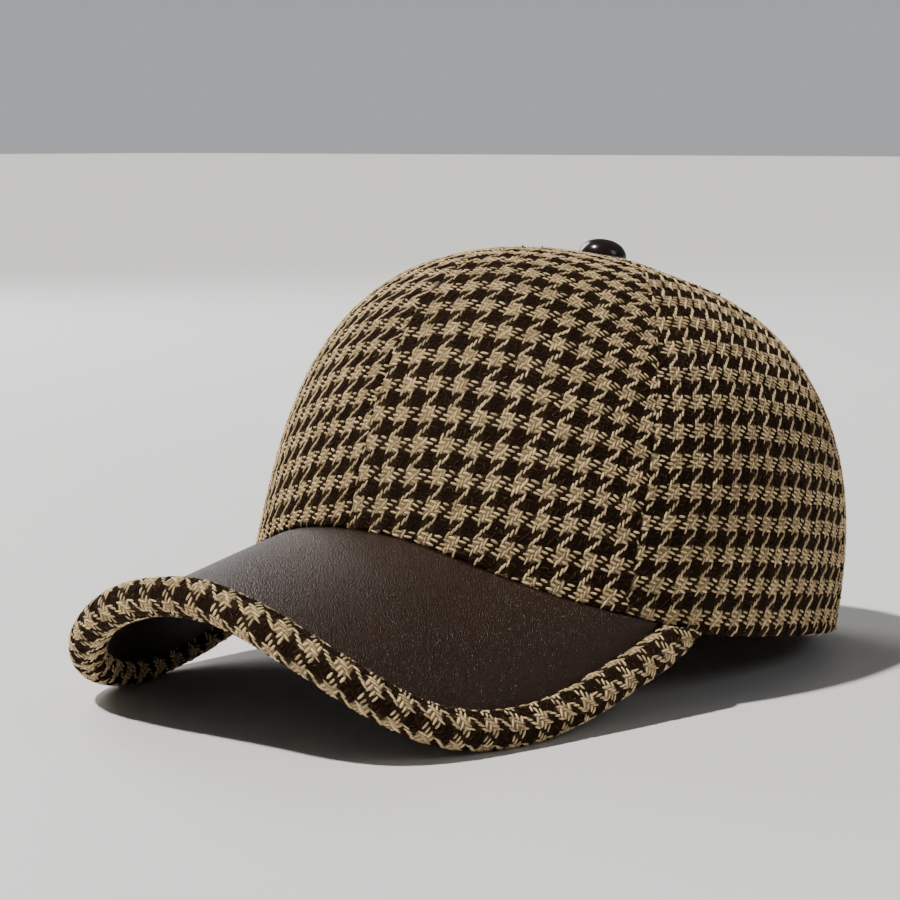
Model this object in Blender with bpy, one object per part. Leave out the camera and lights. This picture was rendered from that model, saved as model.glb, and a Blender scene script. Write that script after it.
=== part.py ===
"""A six-panel cap of houndstooth cloth with a bound leather peak.

Metres, +Z up, Z = 0 is the table. The cap faces -Y and +X is the wearer's left.
It stands as it does by itself: on the two low sides of its peak and on the rear hem.
Shapes are worked out about the middle of the crown, and the cap is then set over the origin.
"""

import math

import bmesh
import bpy
import numpy as np

# Crown, measured outside
CROWN_HALF_WIDTH = 0.0827
CROWN_FRONT = 0.0974
CROWN_BACK = 0.1014
CROWN_HEIGHT = 0.1090
CROWN_LEAN = 0.0147        # how far the top sits behind the middle
CROWN_NOD = 0.076          # fall of the crown's rings towards the back
CROWN_PITCH = math.radians(10.3)   # the cap leans back on its rear hem
WALL = 0.0020              # two layers of woollen cloth
TOP_HOLE = 0.0030          # radius left open where the six points meet
SEAM_ANGLES = (0.0, 57.4, 120.0, 180.0)   # degrees round the ring from the front

# Peak
PEAK_THICKNESS = 0.0036
PEAK_FRONT = 0.1571        # along the slope, from the middle of the crown
PEAK_BEND_START = 0.0476   # where the sides of the edge stop running back
PEAK_TUCK = 0.0457         # how far the edge would run on behind that
PEAK_SLOPE = math.radians(11.7)
PEAK_SPREAD = math.radians(72.6)   # how far round its arch the peak goes
EDGE_SQUARENESS = 2.67
ARCH_HALF_WIDTH = 0.0754   # at ARCH_STATION in front of the middle of the crown
ARCH_RISE = 0.0728
ARCH_STATION = 0.1000
ARCH_WIDENING = 0.072      # growth of the arch towards the crown
ARCH_DEEPENING = -0.155
PEAK_UNDERLAP = 0.0010     # how far the peak runs in under the crown
PEAK_END_ON_HEM = math.radians(64.0)
PEAK_END_ON_EDGE = math.radians(93.0)

# Binding
BINDING_RADIUS = 0.0053
BINDING_END = math.radians(106.0)
TUCK_CLEAR = 0.0024        # distance outside the crown at which the roll stops being pressed
TUCK_RISE = 0.8            # how steeply the pressed part rises away from the crown
TUCK_DROOP = 0.2           # and how it falls away again inside

# Button
BUTTON_RADIUS = 0.0078
BUTTON_HEIGHT = 0.0073
BUTTON_RIM = 0.0014
BUTTON_AHEAD = 0.0014      # the button is sewn on a little in front of the point

# Fits
GAP = 0.00034              # clearance between neighbouring pieces
HEM_SQUASH = 0.0006        # cloth pressed flat under the rear hem
BINDING_SQUASH = 0.0003
HEM_UNDERCUT = 0.0013      # the hem is folded up inside over the peak

# Quarter profiles of the crown: spread and rise powers of a rounded meridian
MERIDIANS = {
    "front": (2.28, 4.10),
    "side": (2.61, 1.96),
    "back": (3.17, 2.63),
}
RING_POWER_FRONT = 2.03
RING_POWER_BACK = 2.35

# Lower edge of the crown: degrees round the ring, share of the crown's height
HEM = (
    (0.0, 0.141),
    (15.0, 0.127),
    (30.0, 0.081),
    (45.0, 0.036),
    (60.0, 0.007),
    (75.0, -0.018),
    (100.0, -0.007),
    (135.0, 0.010),
    (180.0, 0.000),
)

# Fineness
PANEL_COLUMNS = 10
PANEL_ROWS = 16
PEAK_COLUMNS = 44
PEAK_ROWS = 8
BINDING_STATIONS = 76
BINDING_SIDES = 14
BUTTON_SIDES = 32


def clear_scene():
    for item in list(bpy.data.objects):
        bpy.data.objects.remove(item, do_unlink=True)


def material(name, colour, roughness):
    made = bpy.data.materials.new(name)
    made.use_nodes = True
    shader = made.node_tree.nodes["Principled BSDF"]
    shader.inputs["Base Color"].default_value = (*colour, 1.0)
    shader.inputs["Roughness"].default_value = roughness
    shader.inputs["Metallic"].default_value = 0.0
    return made


def signed_power(value, power):
    return np.sign(value) * np.abs(value) ** power


def unit(vector):
    return vector / np.linalg.norm(vector)


def smooth_row(rows, where):
    """A smooth curve through a table of (place, value), level at both ends."""
    places, values = np.array(rows).T
    slopes = np.gradient(values, places)
    slopes[0] = 0.0
    slopes[-1] = 0.0
    i = int(np.clip(np.searchsorted(places, where) - 1, 0, len(places) - 2))
    span = places[i + 1] - places[i]
    t = (where - places[i]) / span
    start = values[i] * (1 + 2 * t) * (1 - t) ** 2 + slopes[i] * span * t * (1 - t) ** 2
    end = values[i + 1] * t ** 2 * (3 - 2 * t) - slopes[i + 1] * span * t ** 2 * (1 - t)
    return start + end


# Crown shape

def meridian_powers(angle):
    """Spread and rise powers, blended from the front, side and back profiles."""
    front = max(math.cos(angle), 0.0) ** 2
    back = max(-math.cos(angle), 0.0) ** 2
    side = 1.0 - front - back
    blended = (
        front * np.array(MERIDIANS["front"])
        + side * np.array(MERIDIANS["side"])
        + back * np.array(MERIDIANS["back"])
    )
    return blended[0], blended[1]


def crown_at(angle, rise):
    """Outside of the crown at a ring angle, for heights as shares of the crown's height."""
    rise = np.asarray(rise, dtype=float)
    spread_power, rise_power = meridian_powers(angle)
    reach = (1.0 - np.clip(rise, 0.0, 1.0) ** rise_power) ** (1.0 / spread_power)
    to_front = 0.5 * (1.0 + math.tanh(3.0 * math.cos(angle)))
    ring_power = RING_POWER_FRONT * to_front + RING_POWER_BACK * (1.0 - to_front)
    length = CROWN_FRONT if math.cos(angle) > 0 else CROWN_BACK
    x = CROWN_HALF_WIDTH * reach * signed_power(math.sin(angle), 2.0 / ring_power)
    y = -length * reach * signed_power(math.cos(angle), 2.0 / ring_power) + CROWN_LEAN * rise
    z = rise * (CROWN_HEIGHT - CROWN_NOD * y)
    from_back = y - CROWN_BACK
    tilted_y = CROWN_BACK + from_back * math.cos(CROWN_PITCH) + z * math.sin(CROWN_PITCH)
    tilted_z = -from_back * math.sin(CROWN_PITCH) + z * math.cos(CROWN_PITCH) - HEM_SQUASH
    return np.stack([x, tilted_y, tilted_z], axis=-1)


def hem_rise(angle):
    return smooth_row(HEM, abs(math.degrees(angle)))


def top_rise(angle):
    """Height share at which the meridian has come in to the open ring at the top."""
    spread_power, rise_power = meridian_powers(angle)
    reach = TOP_HOLE / CROWN_HALF_WIDTH
    return (1.0 - reach ** spread_power) ** (1.0 / rise_power)


def crown_along(angle, share):
    """Outside of the crown at a share of the cloth's length from hem to top."""
    fine = 1.0 - (1.0 - np.linspace(0.0, 1.0, 160)) ** 2.4
    rises = hem_rise(angle) + (top_rise(angle) - hem_rise(angle)) * fine
    points = crown_at(angle, rises)
    steps = np.linalg.norm(np.diff(points, axis=0), axis=1)
    travelled = np.concatenate([[0.0], np.cumsum(steps)])
    rise = np.interp(share * travelled[-1], travelled, rises)
    return crown_at(angle, rise)


def crown_frame(angle, share):
    """A point on the crown, its outward normal and how fast it moves round the ring."""
    d_angle = math.radians(0.4)
    low = max(share - 0.004, 0.0)
    high = min(share + 0.004, 1.0)
    round_it = (crown_along(angle + d_angle, share) - crown_along(angle - d_angle, share)) / (2 * d_angle)
    up_it = crown_along(angle, high) - crown_along(angle, low)
    return crown_along(angle, share), unit(np.cross(round_it, up_it)), np.linalg.norm(round_it)


# Peak shape

def arch_at(y):
    half_width = ARCH_HALF_WIDTH + ARCH_WIDENING * (y + ARCH_STATION)
    depth = ARCH_RISE + ARCH_DEEPENING * (y + ARCH_STATION)
    return half_width, depth


def unlifted_sheet(turn, reach):
    """Top of the peak: turn is the angle round its arch, reach the distance down its slope."""
    y = -reach * math.cos(PEAK_SLOPE)
    half_width, depth = arch_at(y)
    z = -reach * math.sin(PEAK_SLOPE) - depth * (1.0 - math.cos(turn))
    return np.array([half_width * math.sin(turn), y, z])


def edge_place(around):
    """Turn and reach of the middle of the binding, by the angle round the peak's outline."""
    turn = PEAK_SPREAD * signed_power(math.sin(around), 2.0 / EDGE_SQUARENESS)
    length = PEAK_FRONT - PEAK_BEND_START if math.cos(around) > 0 else PEAK_TUCK
    reach = PEAK_BEND_START + length * signed_power(math.cos(around), 2.0 / EDGE_SQUARENESS)
    return turn, reach


def peak_lift():
    """Height that brings the low sides of the binding down to the table."""
    sides = np.linspace(0.0, 0.5 * math.pi, 300)
    lowest = min(unlifted_sheet(*edge_place(around))[2] for around in sides)
    return BINDING_RADIUS - BINDING_SQUASH - lowest


PEAK_LIFT = peak_lift()


def sheet(turn, reach):
    return unlifted_sheet(turn, reach) + np.array([0.0, 0.0, PEAK_LIFT])


def place_on_sheet(point):
    """Turn and reach of the sheet above or below a point."""
    half_width, _ = arch_at(point[1])
    turn = math.asin(float(np.clip(point[0] / half_width, -0.999, 0.999)))
    return np.array([turn, -point[1] / math.cos(PEAK_SLOPE)])


def sheet_normal(turn, reach):
    step = 0.0005
    across = sheet(turn + step, reach) - sheet(turn - step, reach)
    down = sheet(turn, reach + step) - sheet(turn, reach - step)
    return unit(np.cross(down, across))


def hem_point(angle):
    return crown_at(angle, hem_rise(angle))


SIDE_HEM = np.array([hem_point(math.radians(degrees)) for degrees in np.arange(40.0, 100.0, 0.5)])


def binding_centre(around):
    return sheet(*edge_place(around))


def binding_direction(around):
    step = math.radians(0.5)
    return unit(binding_centre(around + step) - binding_centre(around - step))


def pressed_under_hem(point):
    """A point of the roll, kept below the lower edge of the crown where it passes under it."""
    mirrored = np.array([abs(point[0]), point[1]])
    nearest = SIDE_HEM[np.argmin(np.hypot(*(SIDE_HEM[:, :2] - mirrored).T))]
    outward = unit(nearest[:2] / np.array([CROWN_HALF_WIDTH, CROWN_FRONT]) ** 2)
    outside = float(np.dot(mirrored - nearest[:2], outward))
    ceiling = nearest[2] - GAP - TUCK_DROOP * max(-outside, 0.0) + TUCK_RISE * max(outside - TUCK_CLEAR, 0.0)
    return np.array([point[0], point[1], min(point[2], ceiling)])


def peak_rim(around):
    """Outer edge of the leather, beside the binding."""
    turn, reach = edge_place(around)
    inward = unit(np.cross(sheet_normal(turn, reach), binding_direction(around)))
    return binding_centre(around) + inward * (BINDING_RADIUS + GAP)


def peak_top(across, out):
    """Top of the leather and the way up from it.

    across runs from -1 to 1, from side to side, and out from 0 to 1, from crown to rim.
    """
    inner = hem_point(across * PEAK_END_ON_HEM) - np.array([0.0, 0.0, GAP])
    outer = peak_rim(across * PEAK_END_ON_EDGE)
    underlap = PEAK_UNDERLAP * (1.0 - abs(across) ** 1.5) / np.linalg.norm(outer - inner)
    share = out * (1.0 + underlap) - underlap
    inner_place = place_on_sheet(inner)
    outer_place = place_on_sheet(outer)
    inner_lift = inner - sheet(*inner_place)
    outer_lift = outer - sheet(*outer_place)
    place = inner_place + (outer_place - inner_place) * share
    top = sheet(*place) + inner_lift + (outer_lift - inner_lift) * share
    return top, sheet_normal(*place)


# Meshes

def mapped_grid(bm, columns, rows, place):
    """A grid whose vertices are moved to place(u, v), with u and v from 0 to 1."""
    made = bmesh.ops.create_grid(bm, x_segments=columns, y_segments=rows, size=0.5)
    for vert in made["verts"]:
        vert.co = place(vert.co.x + 0.5, vert.co.y + 0.5)
    return made["verts"]


def wall_from_two_grids(name, columns, rows, outside, inside):
    """A closed wall between two grids of the same fineness."""
    bm = bmesh.new()
    mapped_grid(bm, columns, rows, outside)
    mapped_grid(bm, columns, rows, inside)
    rim = [edge for edge in bm.edges if edge.is_boundary]
    bmesh.ops.bridge_loops(bm, edges=rim)
    bmesh.ops.recalc_face_normals(bm, faces=bm.faces)
    return finished(name, bm)


def finished(name, bm):
    mesh = bpy.data.meshes.new(name)
    bm.to_mesh(mesh)
    bm.free()
    mesh.shade_smooth()
    made = bpy.data.objects.new(name, mesh)
    bpy.context.collection.objects.link(made)
    return made


def crown_panel(name, start, end):
    """One of the six gores, between two ring angles."""

    def frame(u, v):
        start_speed = crown_frame(start, v)[2]
        end_speed = crown_frame(end, v)[2]
        low = start + 0.5 * GAP / start_speed
        high = end - 0.5 * GAP / end_speed
        return low + (high - low) * u

    def outside(u, v):
        point = crown_along(frame(u, v), v)
        point[2] = max(point[2], 0.0)
        return point

    def inside(u, v):
        angle = frame(u, v)
        point, normal, _ = crown_frame(angle, v)
        point = point - normal * WALL
        point[2] += HEM_UNDERCUT * math.sqrt(max(math.cos(angle), 0.0)) * (1.0 - v) ** 8
        point[2] = max(point[2], 0.0)
        if v < 1e-6:
            level = min(max(-2.0 * math.cos(angle), 0.0), 1.0)
            point[2] += (outside(u, v)[2] - point[2]) * level
        return point

    return wall_from_two_grids(name, PANEL_COLUMNS, PANEL_ROWS, outside, inside)


def peak():
    def outside(u, v):
        return peak_top(2.0 * u - 1.0, v)[0]

    def inside(u, v):
        top, normal = peak_top(2.0 * u - 1.0, v)
        return top - normal * PEAK_THICKNESS

    return wall_from_two_grids("peak", PEAK_COLUMNS, PEAK_ROWS, outside, inside)


def peak_binding():
    """A round roll of cloth along the edge of the peak."""
    bm = bmesh.new()

    def around_at(v):
        return (2.0 * v - 1.0) * BINDING_END

    def skin(u, v):
        around = around_at(v)
        direction = binding_direction(around)
        side = unit(np.cross(direction, np.array([0.0, 0.0, 1.0])))
        lift = np.cross(side, direction)
        turn = 2.0 * math.pi * u
        offset = side * math.cos(turn) + lift * math.sin(turn)
        point = pressed_under_hem(binding_centre(around) + offset * BINDING_RADIUS)
        point[2] = max(point[2], 0.0)
        return point

    mapped_grid(bm, BINDING_SIDES, BINDING_STATIONS, skin)
    bmesh.ops.remove_doubles(bm, verts=bm.verts, dist=0.00001)
    ends = [edge for edge in bm.edges if edge.is_boundary]
    bmesh.ops.holes_fill(bm, edges=ends, sides=BINDING_SIDES)
    bmesh.ops.recalc_face_normals(bm, faces=bm.faces)
    return finished("peak_binding", bm)


def button_profile():
    """Radius and height of the button from its flat base up to its middle."""
    steps = np.linspace(0.0, math.pi / 2, 9)
    rows = [(0.0, 0.0), (BUTTON_RADIUS - 0.7 * BUTTON_RIM, 0.0)]
    rows += [
        (
            BUTTON_RADIUS * math.cos(step) ** 0.8,
            BUTTON_RIM + (BUTTON_HEIGHT - BUTTON_RIM) * math.sin(step),
        )
        for step in steps[:-1]
    ]
    rows.append((0.0, BUTTON_HEIGHT))
    return rows


def top_button():
    """A domed button standing clear of the crown, square to its top."""
    bm = bmesh.new()
    verts = [bm.verts.new((radius, 0.0, height)) for radius, height in button_profile()]
    edges = [bm.edges.new(pair) for pair in zip(verts, verts[1:])]
    bmesh.ops.spin(
        bm, geom=verts + edges, axis=(0, 0, 1), cent=(0, 0, 0),
        angle=2 * math.pi, steps=BUTTON_SIDES, use_merge=True,
    )
    bmesh.ops.remove_doubles(bm, verts=bm.verts, dist=0.00001)
    bmesh.ops.recalc_face_normals(bm, faces=bm.faces)
    made = finished("top_button", bm)
    apex = crown_at(0.0, 1.0)
    tilt = CROWN_PITCH + math.atan(CROWN_NOD)
    normal = np.array([0.0, math.sin(tilt), math.cos(tilt)])
    ahead = np.array([0.0, -math.cos(tilt), math.sin(tilt)])
    made.location = apex + normal * GAP + ahead * BUTTON_AHEAD
    made.rotation_euler = (-tilt, 0.0, 0.0)
    return made


def crown():
    """Six panels, named from the front round to the back on each side."""
    places = ("front", "side", "back")
    panels = []
    for place, start, end in zip(places, SEAM_ANGLES, SEAM_ANGLES[1:]):
        low = math.radians(start)
        high = math.radians(end)
        panels.append(crown_panel(f"crown_{place}_left", low, high))
        panels.append(crown_panel(f"crown_{place}_right", -high, -low))
    return panels


def main():
    clear_scene()
    cloth = material("houndstooth_cloth", (0.30, 0.23, 0.16), 0.95)
    leather = material("brown_leather", (0.060, 0.033, 0.022), 0.45)
    gloss = material("dark_button", (0.018, 0.010, 0.008), 0.18)
    pieces = [(panel, cloth) for panel in crown()]
    pieces.append((peak(), leather))
    pieces.append((peak_binding(), cloth))
    pieces.append((top_button(), gloss))
    centre = bpy.data.objects.new("cap", None)
    bpy.context.collection.objects.link(centre)
    bpy.context.view_layer.update()
    reaches = []
    for piece, finish in pieces:
        piece.data.materials.append(finish)
        piece.parent = centre
        reaches += [(piece.matrix_world @ vert.co).y for vert in piece.data.vertices]
    centre.location.y = -0.5 * (min(reaches) + max(reaches))


main()
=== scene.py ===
# %% [markdown]
# # A houndstooth cap with a bound leather peak
#
# The solids of the cap come from the frame. This lesson dresses them: six crown panels of
# woollen houndstooth, a leather peak, the thick roll of the same cloth round its edge and a
# polished button. The scene is in metres, +Z is up, and the cap faces -Y.

# %% Load the frame
import math

import bmesh
import bpy
import numpy as np
from mathutils import Matrix, Vector


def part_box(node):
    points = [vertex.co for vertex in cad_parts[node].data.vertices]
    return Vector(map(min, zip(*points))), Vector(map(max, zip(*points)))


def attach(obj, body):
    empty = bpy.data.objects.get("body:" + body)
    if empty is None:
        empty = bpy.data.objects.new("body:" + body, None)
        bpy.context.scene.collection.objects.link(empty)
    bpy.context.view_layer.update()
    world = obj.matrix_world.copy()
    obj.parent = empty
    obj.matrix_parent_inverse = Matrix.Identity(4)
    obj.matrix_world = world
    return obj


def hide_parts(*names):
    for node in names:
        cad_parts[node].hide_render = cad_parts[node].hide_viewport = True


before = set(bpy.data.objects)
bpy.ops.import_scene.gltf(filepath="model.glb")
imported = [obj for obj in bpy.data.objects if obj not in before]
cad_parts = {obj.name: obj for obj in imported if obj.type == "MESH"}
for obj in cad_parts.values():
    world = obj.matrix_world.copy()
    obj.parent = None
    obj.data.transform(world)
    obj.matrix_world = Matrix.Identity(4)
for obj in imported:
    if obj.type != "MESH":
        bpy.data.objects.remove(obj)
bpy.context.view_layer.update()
print("nodes:", sorted(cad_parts))

# %% [markdown]
# ## Sizes
#
# A cap is a few smooth curves: a rounded ring, a rounded profile above it and an arched
# sheet in front. The same sizes gave the solids, so the dressed pieces land on them. They
# could be read off the solids' points, but then every facet would show in the cloth.

# %% Sizes of the crown
CROWN_HALF_WIDTH = 0.0827
CROWN_FRONT = 0.0974
CROWN_BACK = 0.1014
CROWN_HEIGHT = 0.1090
CROWN_LEAN = 0.0147
CROWN_NOD = 0.076
CROWN_PITCH = math.radians(10.3)
WALL = 0.0020
TOP_HOLE = 0.0030
SEAM_ANGLES = tuple(math.radians(angle) for angle in (0.0, 57.4, 120.0, 180.0))
HEM_SQUASH = 0.0006
HEM_UNDERCUT = 0.0013
PROFILE_FRONT = (2.28, 4.10)
PROFILE_SIDE = (2.61, 1.96)
PROFILE_BACK = (3.17, 2.63)
RING_POWER_FRONT = 2.03
RING_POWER_BACK = 2.35
HEM = (
    (0.0, 0.141),
    (15.0, 0.127),
    (30.0, 0.081),
    (45.0, 0.036),
    (60.0, 0.007),
    (75.0, -0.018),
    (100.0, -0.007),
    (135.0, 0.010),
    (180.0, 0.000),
)

# %% Sizes of the peak, its binding and the button
PEAK_THICKNESS = 0.0036
PEAK_FRONT = 0.1571
PEAK_BEND_START = 0.0476
PEAK_TUCK = 0.0457
PEAK_SLOPE = math.radians(11.7)
PEAK_SPREAD = math.radians(72.6)
EDGE_SQUARENESS = 2.67
ARCH_HALF_WIDTH = 0.0754
ARCH_RISE = 0.0728
ARCH_STATION = 0.1000
ARCH_WIDENING = 0.072
ARCH_DEEPENING = -0.155
PEAK_END_ON_HEM = math.radians(64.0)
PEAK_END_ON_EDGE = math.radians(93.0)
BINDING_RADIUS = 0.0053
BINDING_SQUASH = 0.0003
BINDING_END = math.radians(106.0)
GAP = 0.00034
TUCK_CLEAR = 0.0024
TUCK_RISE = 0.8
TUCK_DROOP = 0.2
BUTTON_RADIUS = 0.0078
BUTTON_HEIGHT = 0.0073
BUTTON_RIM = 0.0014
BUTTON_AHEAD = 0.0014

# %% Small helpers for arrays of points
def signed_power(value, power):
    return np.sign(value) * np.abs(value) ** power


def unit(vectors):
    return vectors / np.maximum(np.linalg.norm(vectors, axis=-1, keepdims=True), 1e-12)


def ease(value):
    value = np.clip(value, 0.0, 1.0)
    return value * value * (3.0 - 2.0 * value)


def smooth_row(rows, where):
    """A smooth curve through a table of (place, value), level at both ends."""
    places, values = np.array(rows).T
    slopes = np.gradient(values, places)
    slopes[0] = 0.0
    slopes[-1] = 0.0
    i = np.clip(np.searchsorted(places, where) - 1, 0, len(places) - 2)
    span = places[i + 1] - places[i]
    t = (where - places[i]) / span
    start = values[i] * (1 + 2 * t) * (1 - t) ** 2 + slopes[i] * span * t * (1 - t) ** 2
    end = values[i + 1] * t ** 2 * (3 - 2 * t) - slopes[i + 1] * span * t ** 2 * (1 - t)
    return start + end

# %% [markdown]
# ## The crown's surface
#
# A real crown is six flat gores sewn edge to edge, so it bends both ways like half an egg.
# The formula gives a point for an angle round the ring and a height. A second function
# measures along the cloth, because a weave has to follow lengths and not heights.

# %% Crown surface
def profile_powers(cosine):
    """Powers of the profile's outward and upward curve, blended round the ring."""
    front = np.clip(cosine, 0.0, 1.0) ** 2
    back = np.clip(-cosine, 0.0, 1.0) ** 2
    side = 1.0 - front - back
    return [
        front * at_front + side * at_side + back * at_back
        for at_front, at_side, at_back in zip(PROFILE_FRONT, PROFILE_SIDE, PROFILE_BACK)
    ]


def crown_at(angle, rise):
    """Outside of the crown; angle is measured round the ring from the front."""
    cosine = np.cos(angle)
    spread_power, rise_power = profile_powers(cosine)
    reach = (1.0 - np.clip(rise, 0.0, 1.0) ** rise_power) ** (1.0 / spread_power)
    to_front = 0.5 * (1.0 + np.tanh(3.0 * cosine))
    ring_power = RING_POWER_FRONT * to_front + RING_POWER_BACK * (1.0 - to_front)
    length = np.where(cosine > 0, CROWN_FRONT, CROWN_BACK)
    x = CROWN_HALF_WIDTH * reach * signed_power(np.sin(angle), 2.0 / ring_power)
    y = -length * reach * signed_power(cosine, 2.0 / ring_power) + CROWN_LEAN * rise
    z = rise * (CROWN_HEIGHT - CROWN_NOD * y)
    from_back = y - CROWN_BACK
    tilted_y = CROWN_BACK + from_back * math.cos(CROWN_PITCH) + z * math.sin(CROWN_PITCH)
    tilted_z = -from_back * math.sin(CROWN_PITCH) + z * math.cos(CROWN_PITCH) - HEM_SQUASH
    return np.stack([x, tilted_y, tilted_z], axis=-1)


def hem_rise(angle):
    return smooth_row(HEM, np.abs(np.degrees(angle)))


def top_rise(angle):
    """Height share of the small ring under the button."""
    spread_power, rise_power = profile_powers(np.cos(angle))
    reach = TOP_HOLE / CROWN_HALF_WIDTH
    return (1.0 - reach ** spread_power) ** (1.0 / rise_power)


def meridian(angle, shares):
    """Points at shares of the cloth's length from the hem to the top, for one ring angle."""
    fine = 1.0 - (1.0 - np.linspace(0.0, 1.0, 400)) ** 2.4
    rises = hem_rise(angle) + (top_rise(angle) - hem_rise(angle)) * fine
    points = crown_at(np.full_like(rises, angle), rises)
    steps = np.linalg.norm(np.diff(points, axis=0), axis=1)
    travelled = np.concatenate([[0.0], np.cumsum(steps)])
    wanted = np.interp(shares * travelled[-1], travelled, rises)
    return crown_at(np.full_like(wanted, angle), wanted)


print("crown top at", crown_at(np.array(0.0), np.array(1.0)).round(4))

# %% [markdown]
# ## The peak's surface
#
# The peak is a board bent round an arch that opens a little towards the head, with leather
# over it. Its outline is a rounded rectangle drawn on that arch. Its inner edge follows the
# hem of the crown. Bending a flat sheet with a modifier would also work, but the arch as a
# formula keeps the leather, the roll and the solids on one surface.

# %% Peak surface
def unlifted_sheet(turn, reach):
    y = -reach * math.cos(PEAK_SLOPE)
    half_width = ARCH_HALF_WIDTH + ARCH_WIDENING * (y + ARCH_STATION)
    depth = ARCH_RISE + ARCH_DEEPENING * (y + ARCH_STATION)
    z = -reach * math.sin(PEAK_SLOPE) - depth * (1.0 - np.cos(turn))
    return np.stack([half_width * np.sin(turn), y, z], axis=-1)


def edge_place(around):
    """Turn round the arch and reach down the slope of the middle of the binding."""
    turn = PEAK_SPREAD * signed_power(np.sin(around), 2.0 / EDGE_SQUARENESS)
    length = np.where(np.cos(around) > 0, PEAK_FRONT - PEAK_BEND_START, PEAK_TUCK)
    reach = PEAK_BEND_START + length * signed_power(np.cos(around), 2.0 / EDGE_SQUARENESS)
    return turn, reach


SIDES = np.linspace(0.0, 0.5 * math.pi, 300)
PEAK_LIFT = BINDING_RADIUS - BINDING_SQUASH - unlifted_sheet(*edge_place(SIDES))[:, 2].min()


def sheet(turn, reach):
    return unlifted_sheet(turn, reach) + np.array([0.0, 0.0, PEAK_LIFT])


def place_on_sheet(points):
    half_width = ARCH_HALF_WIDTH + ARCH_WIDENING * (points[..., 1] + ARCH_STATION)
    turn = np.arcsin(np.clip(points[..., 0] / half_width, -0.999, 0.999))
    return np.stack([turn, -points[..., 1] / math.cos(PEAK_SLOPE)], axis=-1)


def sheet_normal(turn, reach):
    step = 0.0005
    across = sheet(turn + step, reach) - sheet(turn - step, reach)
    down = sheet(turn, reach + step) - sheet(turn, reach - step)
    return unit(np.cross(down, across))


def binding_direction(around):
    step = math.radians(0.5)
    return unit(sheet(*edge_place(around + step)) - sheet(*edge_place(around - step)))


FRONT_OF_ROLL = sheet(*edge_place(np.array(0.0)))[1] - BINDING_RADIUS
CAP_SHIFT = np.array([0.0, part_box("peak_binding")[0][1] - FRONT_OF_ROLL, 0.0])
print("peak lifted by", round(PEAK_LIFT, 4), "cap set back by", CAP_SHIFT.round(4))

# %% [markdown]
# ## From a grid to a piece of the cap
#
# Every soft piece here starts as a flat grid from the grid operator. Each grid point is
# moved to its place on a surface, and each face corner gets its place on the cloth, counted
# in threads. Two such grids are bridged into a wall, as cloth is never a bare surface.

# %% Grid helpers
CLOTH_MAP = "cloth"


def grid_shares(columns, rows, first=0.0):
    """Shares across and along at each point of a grid; across runs from first to 1."""
    across = np.linspace(first, 1.0, columns + 1)
    along = np.linspace(0.0, 1.0, rows + 1)
    return np.meshgrid(across, along, indexing="ij")


def add_grid(bm, points, threads):
    """Adds a grid with its corners at points[column, row] and its cloth map from threads."""
    columns = points.shape[0] - 1
    rows = points.shape[1] - 1
    cloth = bm.loops.layers.uv.get(CLOTH_MAP) or bm.loops.layers.uv.new(CLOTH_MAP)
    made = bmesh.ops.create_grid(bm, x_segments=columns, y_segments=rows, size=0.5)
    places = {}
    for vert in made["verts"]:
        column = round((vert.co.x + 0.5) * columns)
        row = round((vert.co.y + 0.5) * rows)
        places[vert] = (column, row)
        vert.co = points[column, row]
    faces = {face for vert in made["verts"] for face in vert.link_faces}
    for face in faces:
        for loop in face.loops:
            loop[cloth].uv = threads[places[loop.vert]]
    return made["verts"]


def finished(name, bm, node, material):
    """Turns the bmesh into an object that stands for a solid of the frame."""
    mesh = bpy.data.meshes.new(name)
    bm.to_mesh(mesh)
    bm.free()
    mesh.shade_smooth()
    mesh.materials.append(material)
    piece = bpy.data.objects.new(name, mesh)
    bpy.context.collection.objects.link(piece)
    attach(piece, "root")
    if node:
        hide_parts(node)
    print(name, sum(face.loop_total - 2 for face in mesh.polygons), "triangles")
    return piece


def wall(bm, outside, inside, threads):
    """Two grids bridged along their rims, with every face turned outwards."""
    add_grid(bm, outside, threads)
    add_grid(bm, inside, threads)
    rim = [edge for edge in bm.edges if edge.is_boundary]
    bridge = bmesh.ops.bridge_loops(bm, edges=rim)
    cloth = bm.loops.layers.uv.get(CLOTH_MAP)
    known = {loop.vert: loop[cloth].uv.copy() for face in bm.faces if face not in bridge["faces"]
             for loop in face.loops}
    for face in bridge["faces"]:
        for loop in face.loops:
            loop[cloth].uv = known[loop.vert]
    bmesh.ops.recalc_face_normals(bm, faces=bm.faces)

# %% [markdown]
# ## Working with shader nodes as sums
#
# The weave is arithmetic: which thread, how far along its float, which yarn is on top. A
# small helper turns a sum into math nodes, so the weave reads as formulas and not as a
# screen full of boxes.

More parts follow.
